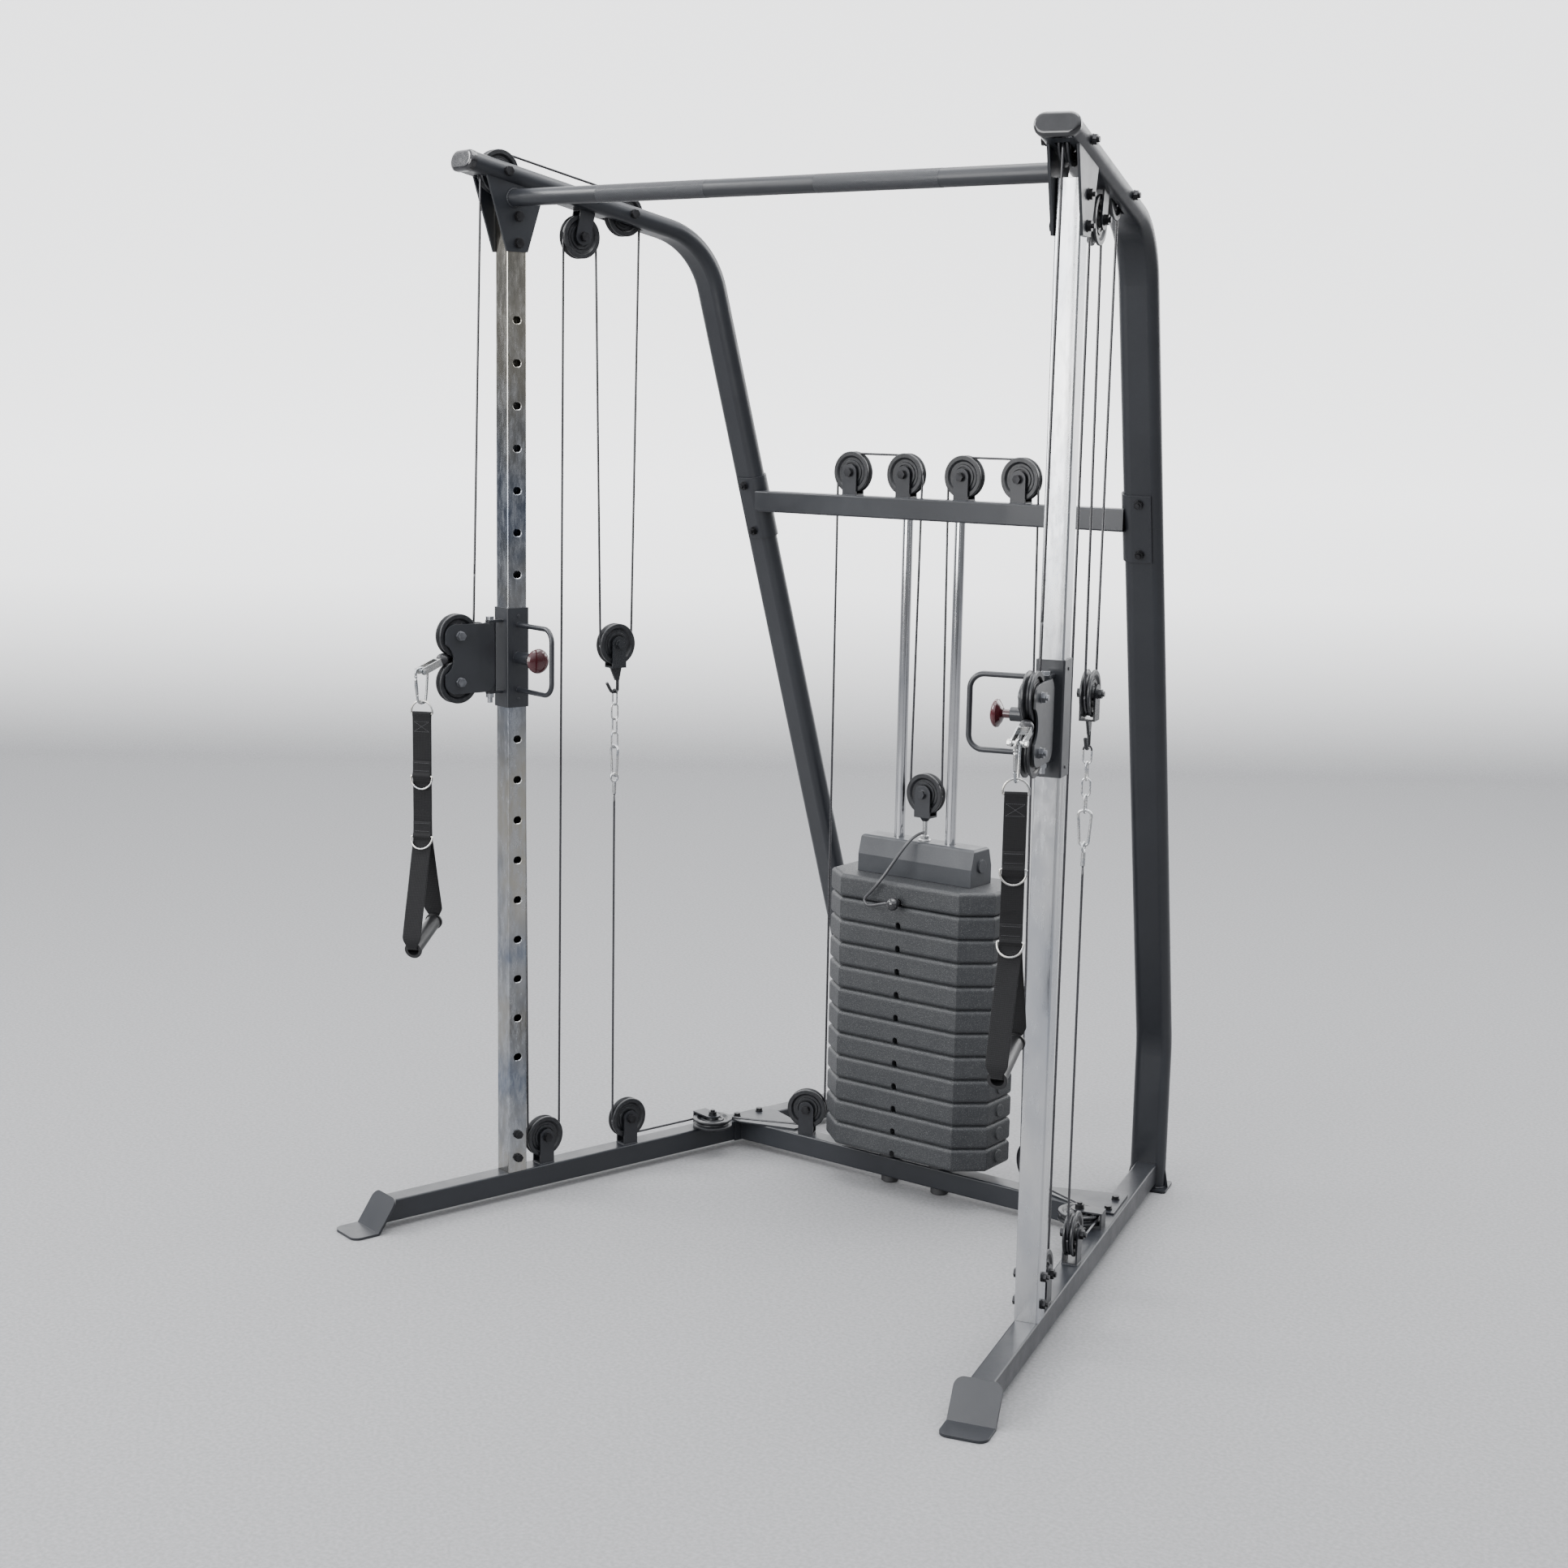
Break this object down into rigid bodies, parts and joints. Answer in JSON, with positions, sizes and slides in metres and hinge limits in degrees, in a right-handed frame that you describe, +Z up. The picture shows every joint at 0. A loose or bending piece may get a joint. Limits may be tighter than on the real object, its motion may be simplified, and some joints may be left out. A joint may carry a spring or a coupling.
{
  "type": "functional trainer",
  "caption": "Cable functional trainer with two splayed side frames, sliding pulley carriages, hand straps and one shared selector weight stack.",
  "frame": {"origin": "floor level, at the middle of the footprint", "axes": "+Z up; the user stands on the -Y side and the weight stack is on the +Y side; +X is the user's right when facing the machine"},
  "size_m": [1.5206, 1.3416, 2.123],
  "materials": {
    "black_gloss": "glossy black",
    "black_oxide": "black oxide",
    "black_rubber": "matt rubber",
    "bright_tube": "bright plated tube",
    "cable_jacket": "black nylon jacket",
    "guide_chrome": "polished chrome",
    "head_shell": "fine-grained moulding",
    "knob_plastic": "glossy dark maroon",
    "plate_shell": "grained, speckled shell",
    "powder_coat": "satin powder coat, dark charcoal with a blue cast",
    "pulley_plastic": "moulded, slightly glossy rims",
    "webbing": "black woven nylon",
    "zinc": "bright zinc plate"
  },
  "bodies": {
    "frame": {"base_rails": "powder_coat", "base_crossbeam": "powder_coat", "rubber_pads": "black_rubber", "uprights": "bright_tube", "top_arms": "powder_coat", "rear_posts": "powder_coat", "arm_end_caps": "black_gloss", "mid_crossbar": "powder_coat", "pull_up_bar": "powder_coat", "guide_rods": "guide_chrome", "pulley_brackets": "powder_coat", "frame_bolts": "black_oxide", "lower_weight_plates": "plate_shell", "handle_cable_left": "cable_jacket", "handle_cable_right": "cable_jacket", "stack_cable": "cable_jacket"},
    "stack": {"stack_head": "head_shell", "top_weight_plate": "plate_shell", "pin_lanyard": "black_gloss"},
    "selector": {"selector_pin": "black_gloss"},
    "stack_pulley": {"stack_pulley": "pulley_plastic"},
    "carriage_left": {"carriage_left": "powder_coat"},
    "pull_pin_left": {"pull_pin_left": "knob_plastic"},
    "swivel_left": {"swivel_left": "powder_coat"},
    "cable_end_left": {"cable_end_left": "zinc"},
    "strap_left": {"strap_left": "webbing"},
    "grip_left": {"grip_left": "black_gloss"},
    "float_left": {"float_left": "zinc"},
    "front_top_pulley_left": {"front_top_pulley_left": "pulley_plastic"},
    "rear_top_pulley_left": {"rear_top_pulley_left": "pulley_plastic"},
    "hanging_pulley_left": {"hanging_pulley_left": "pulley_plastic"},
    "floating_pulley_left": {"floating_pulley_left": "pulley_plastic"},
    "rail_front_pulley_left": {"rail_front_pulley_left": "pulley_plastic"},
    "rail_rear_pulley_left": {"rail_rear_pulley_left": "pulley_plastic"},
    "carriage_upper_pulley_left": {"carriage_upper_pulley_left": "pulley_plastic"},
    "carriage_lower_pulley_left": {"carriage_lower_pulley_left": "pulley_plastic"},
    "corner_pulley_left": {"corner_pulley_left": "pulley_plastic"},
    "crossbeam_pulley_left": {"crossbeam_pulley_left": "pulley_plastic"},
    "mid_outer_pulley_left": {"mid_outer_pulley_left": "pulley_plastic"},
    "mid_inner_pulley_left": {"mid_inner_pulley_left": "pulley_plastic"},
    "carriage_right": {"carriage_right": "powder_coat"},
    "pull_pin_right": {"pull_pin_right": "knob_plastic"},
    "swivel_right": {"swivel_right": "powder_coat"},
    "cable_end_right": {"cable_end_right": "zinc"},
    "strap_right": {"strap_right": "webbing"},
    "grip_right": {"grip_right": "black_gloss"},
    "float_right": {"float_right": "zinc"},
    "front_top_pulley_right": {"front_top_pulley_right": "pulley_plastic"},
    "rear_top_pulley_right": {"rear_top_pulley_right": "pulley_plastic"},
    "hanging_pulley_right": {"hanging_pulley_right": "pulley_plastic"},
    "floating_pulley_right": {"floating_pulley_right": "pulley_plastic"},
    "rail_front_pulley_right": {"rail_front_pulley_right": "pulley_plastic"},
    "rail_rear_pulley_right": {"rail_rear_pulley_right": "pulley_plastic"},
    "carriage_upper_pulley_right": {"carriage_upper_pulley_right": "pulley_plastic"},
    "carriage_lower_pulley_right": {"carriage_lower_pulley_right": "pulley_plastic"},
    "corner_pulley_right": {"corner_pulley_right": "pulley_plastic"},
    "crossbeam_pulley_right": {"crossbeam_pulley_right": "pulley_plastic"},
    "mid_outer_pulley_right": {"mid_outer_pulley_right": "pulley_plastic"},
    "mid_inner_pulley_right": {"mid_inner_pulley_right": "pulley_plastic"}
  },
  "joints": [
    {"name": "stack_lift", "type": "slide", "parent": "frame", "child": "stack", "axis": [0, 0, 1], "range_m": [0, 0.5], "deforming": ["stack_cable"]},
    {"name": "selector_pull", "type": "slide", "parent": "stack", "child": "selector", "axis": [0, -1, 0], "range_m": [0, 0.13], "deforming": ["pin_lanyard"]},
    {"name": "stack_pulley_spin", "type": "hinge", "parent": "stack", "child": "stack_pulley", "pos_m": [0, 0.3018, 0.8536], "axis": [0, 1, 0], "continuous": true},
    {"name": "carriage_slide_left", "type": "slide", "parent": "frame", "child": "carriage_left", "axis": [0, 0, 1], "range_m": [-0.415, 0.664], "deforming": ["handle_cable_left"]},
    {"name": "pull_pin_slide_left", "type": "slide", "parent": "carriage_left", "child": "pull_pin_left", "axis": [-0.9678, 0.2516, 0], "range_m": [0, 0.011]},
    {"name": "swivel_turn_left", "type": "hinge", "parent": "carriage_left", "child": "swivel_left", "pos_m": [-0.63683, -0.33205, 1.139], "axis": [0, 0, 1], "range_deg": [-80, 80]},
    {"name": "handle_pull_left", "type": "slide", "parent": "swivel_left", "child": "cable_end_left", "axis": [-0.2516, -0.9678, 0], "range_m": [0, 1]},
    {"name": "strap_swing_left", "type": "hinge", "parent": "cable_end_left", "child": "strap_left", "pos_m": [-0.67607, -0.48304, 1.119], "axis": [-0.9678, 0.2516, 0], "range_deg": [-3, 90]},
    {"name": "grip_turn_left", "type": "hinge", "parent": "strap_left", "child": "grip_left", "pos_m": [-0.67622, -0.48272, 0.58785], "axis": [-0.3864, 0.8748, 0.2924], "continuous": true},
    {"name": "float_rise_left", "type": "slide", "parent": "frame", "child": "float_left", "axis": [0, 0, 1], "range_m": [0, 0.5]},
    {"name": "front_top_pulley_left_spin", "type": "hinge", "parent": "frame", "child": "front_top_pulley_left", "pos_m": [-0.63145, -0.31134, 2.08002], "axis": [0.9678, -0.2516, 0], "continuous": true},
    {"name": "rear_top_pulley_left_spin", "type": "hinge", "parent": "frame", "child": "rear_top_pulley_left", "pos_m": [-0.55683, -0.02428, 2.01773], "axis": [0.9678, -0.2516, 0], "continuous": true},
    {"name": "hanging_pulley_left_spin", "type": "hinge", "parent": "frame", "child": "hanging_pulley_left", "pos_m": [-0.58349, -0.12686, 1.96846], "axis": [0.9678, -0.2516, 0], "continuous": true},
    {"name": "floating_pulley_left_spin", "type": "hinge", "parent": "float_left", "child": "floating_pulley_left", "pos_m": [-0.55998, -0.03638, 1.1475], "axis": [0.9678, -0.2516, 0], "continuous": true},
    {"name": "rail_front_pulley_left_spin", "type": "hinge", "parent": "frame", "child": "rail_front_pulley_left", "pos_m": [-0.60455, -0.20788, 0.116], "axis": [0.9678, -0.2516, 0], "continuous": true},
    {"name": "rail_rear_pulley_left_spin", "type": "hinge", "parent": "frame", "child": "rail_rear_pulley_left", "pos_m": [-0.55049, 0.00011, 0.116], "axis": [0.9678, -0.2516, 0], "continuous": true},
    {"name": "carriage_upper_pulley_left_spin", "type": "hinge", "parent": "swivel_left", "child": "carriage_upper_pulley_left", "pos_m": [-0.65607, -0.40609, 1.185], "axis": [0.9678, -0.2516, 0], "continuous": true},
    {"name": "carriage_lower_pulley_left_spin", "type": "hinge", "parent": "swivel_left", "child": "carriage_lower_pulley_left", "pos_m": [-0.65607, -0.40609, 1.093], "axis": [0.9678, -0.2516, 0], "continuous": true},
    {"name": "corner_pulley_left_spin", "type": "hinge", "parent": "frame", "child": "corner_pulley_left", "pos_m": [-0.46177, 0.18762, 0.0773], "axis": [0, 0, 1], "continuous": true},
    {"name": "crossbeam_pulley_left_spin", "type": "hinge", "parent": "frame", "child": "crossbeam_pulley_left", "pos_m": [-0.286, 0.3018, 0.116], "axis": [-0.3806, 0.9247, 0], "continuous": true},
    {"name": "mid_outer_pulley_left_spin", "type": "hinge", "parent": "frame", "child": "mid_outer_pulley_left", "pos_m": [-0.2027, 0.3018, 1.5095], "axis": [0, 1, 0], "continuous": true},
    {"name": "mid_inner_pulley_left_spin", "type": "hinge", "parent": "frame", "child": "mid_inner_pulley_left", "pos_m": [-0.07, 0.3018, 1.5095], "axis": [0, 1, 0], "continuous": true},
    {"name": "carriage_slide_right", "type": "slide", "parent": "frame", "child": "carriage_right", "axis": [0, 0, 1], "range_m": [-0.415, 0.664], "deforming": ["handle_cable_right"]},
    {"name": "pull_pin_slide_right", "type": "slide", "parent": "carriage_right", "child": "pull_pin_right", "axis": [0.9678, 0.2516, 0], "range_m": [0, 0.011]},
    {"name": "swivel_turn_right", "type": "hinge", "parent": "carriage_right", "child": "swivel_right", "pos_m": [0.63683, -0.33205, 1.139], "axis": [0, 0, 1], "range_deg": [-80, 80]},
    {"name": "handle_pull_right", "type": "slide", "parent": "swivel_right", "child": "cable_end_right", "axis": [0.2516, -0.9678, 0], "range_m": [0, 1]},
    {"name": "strap_swing_right", "type": "hinge", "parent": "cable_end_right", "child": "strap_right", "pos_m": [0.67607, -0.48304, 1.119], "axis": [-0.9678, -0.2516, 0], "range_deg": [-3, 90]},
    {"name": "grip_turn_right", "type": "hinge", "parent": "strap_right", "child": "grip_right", "pos_m": [0.67597, -0.4827, 0.58785], "axis": [-0.2695, 0.9175, 0.2924], "continuous": true},
    {"name": "float_rise_right", "type": "slide", "parent": "frame", "child": "float_right", "axis": [0, 0, 1], "range_m": [0, 0.5]},
    {"name": "front_top_pulley_right_spin", "type": "hinge", "parent": "frame", "child": "front_top_pulley_right", "pos_m": [0.63145, -0.31134, 2.08002], "axis": [0.9678, 0.2516, 0], "continuous": true},
    {"name": "rear_top_pulley_right_spin", "type": "hinge", "parent": "frame", "child": "rear_top_pulley_right", "pos_m": [0.55683, -0.02428, 2.01773], "axis": [0.9678, 0.2516, 0], "continuous": true},
    {"name": "hanging_pulley_right_spin", "type": "hinge", "parent": "frame", "child": "hanging_pulley_right", "pos_m": [0.58349, -0.12686, 1.96846], "axis": [0.9678, 0.2516, 0], "continuous": true},
    {"name": "floating_pulley_right_spin", "type": "hinge", "parent": "float_right", "child": "floating_pulley_right", "pos_m": [0.55998, -0.03638, 1.1475], "axis": [0.9678, 0.2516, 0], "continuous": true},
    {"name": "rail_front_pulley_right_spin", "type": "hinge", "parent": "frame", "child": "rail_front_pulley_right", "pos_m": [0.60455, -0.20788, 0.116], "axis": [0.9678, 0.2516, 0], "continuous": true},
    {"name": "rail_rear_pulley_right_spin", "type": "hinge", "parent": "frame", "child": "rail_rear_pulley_right", "pos_m": [0.55049, 0.00011, 0.116], "axis": [0.9678, 0.2516, 0], "continuous": true},
    {"name": "carriage_upper_pulley_right_spin", "type": "hinge", "parent": "swivel_right", "child": "carriage_upper_pulley_right", "pos_m": [0.65607, -0.40609, 1.185], "axis": [0.9678, 0.2516, 0], "continuous": true},
    {"name": "carriage_lower_pulley_right_spin", "type": "hinge", "parent": "swivel_right", "child": "carriage_lower_pulley_right", "pos_m": [0.65607, -0.40609, 1.093], "axis": [0.9678, 0.2516, 0], "continuous": true},
    {"name": "corner_pulley_right_spin", "type": "hinge", "parent": "frame", "child": "corner_pulley_right", "pos_m": [0.46177, 0.18762, 0.0773], "axis": [0, 0, 1], "continuous": true},
    {"name": "crossbeam_pulley_right_spin", "type": "hinge", "parent": "frame", "child": "crossbeam_pulley_right", "pos_m": [0.286, 0.3018, 0.116], "axis": [0.3806, 0.9247, 0], "continuous": true},
    {"name": "mid_outer_pulley_right_spin", "type": "hinge", "parent": "frame", "child": "mid_outer_pulley_right", "pos_m": [0.2027, 0.3018, 1.5095], "axis": [0, 1, 0], "continuous": true},
    {"name": "mid_inner_pulley_right_spin", "type": "hinge", "parent": "frame", "child": "mid_inner_pulley_right", "pos_m": [0.07, 0.3018, 1.5095], "axis": [0, 1, 0], "continuous": true}
  ],
  "couplings": [
    {"joint": "handle_pull_left", "follows": "stack_lift", "ratio": 2},
    {"joint": "float_rise_left", "follows": "stack_lift", "ratio": 1},
    {"joint": "front_top_pulley_left_spin", "follows": "stack_lift", "rad_per_m": 51.68},
    {"joint": "rear_top_pulley_left_spin", "follows": "stack_lift", "rad_per_m": 51.68},
    {"joint": "hanging_pulley_left_spin", "follows": "carriage_slide_left", "rad_per_m": 25.84},
    {"joint": "floating_pulley_left_spin", "follows": "stack_lift", "rad_per_m": 25.84},
    {"joint": "rail_front_pulley_left_spin", "follows": "carriage_slide_left", "rad_per_m": -25.84},
    {"joint": "rail_rear_pulley_left_spin", "follows": "stack_lift", "rad_per_m": -25.84},
    {"joint": "carriage_upper_pulley_left_spin", "follows": "stack_lift", "rad_per_m": -51.68},
    {"joint": "corner_pulley_left_spin", "follows": "stack_lift", "rad_per_m": 25.84},
    {"joint": "crossbeam_pulley_left_spin", "follows": "stack_lift", "rad_per_m": 25.84},
    {"joint": "mid_outer_pulley_left_spin", "follows": "stack_lift", "rad_per_m": -25.84},
    {"joint": "mid_inner_pulley_left_spin", "follows": "stack_lift", "rad_per_m": -25.84},
    {"joint": "handle_pull_right", "follows": "stack_lift", "ratio": 2},
    {"joint": "float_rise_right", "follows": "stack_lift", "ratio": 1},
    {"joint": "front_top_pulley_right_spin", "follows": "stack_lift", "rad_per_m": 51.68},
    {"joint": "rear_top_pulley_right_spin", "follows": "stack_lift", "rad_per_m": 51.68},
    {"joint": "hanging_pulley_right_spin", "follows": "carriage_slide_right", "rad_per_m": 25.84},
    {"joint": "floating_pulley_right_spin", "follows": "stack_lift", "rad_per_m": 25.84},
    {"joint": "rail_front_pulley_right_spin", "follows": "carriage_slide_right", "rad_per_m": -25.84},
    {"joint": "rail_rear_pulley_right_spin", "follows": "stack_lift", "rad_per_m": -25.84},
    {"joint": "carriage_upper_pulley_right_spin", "follows": "stack_lift", "rad_per_m": -51.68},
    {"joint": "corner_pulley_right_spin", "follows": "stack_lift", "rad_per_m": -25.84},
    {"joint": "crossbeam_pulley_right_spin", "follows": "stack_lift", "rad_per_m": -25.84},
    {"joint": "mid_outer_pulley_right_spin", "follows": "stack_lift", "rad_per_m": 25.84},
    {"joint": "mid_inner_pulley_right_spin", "follows": "stack_lift", "rad_per_m": 25.84}
  ]
}
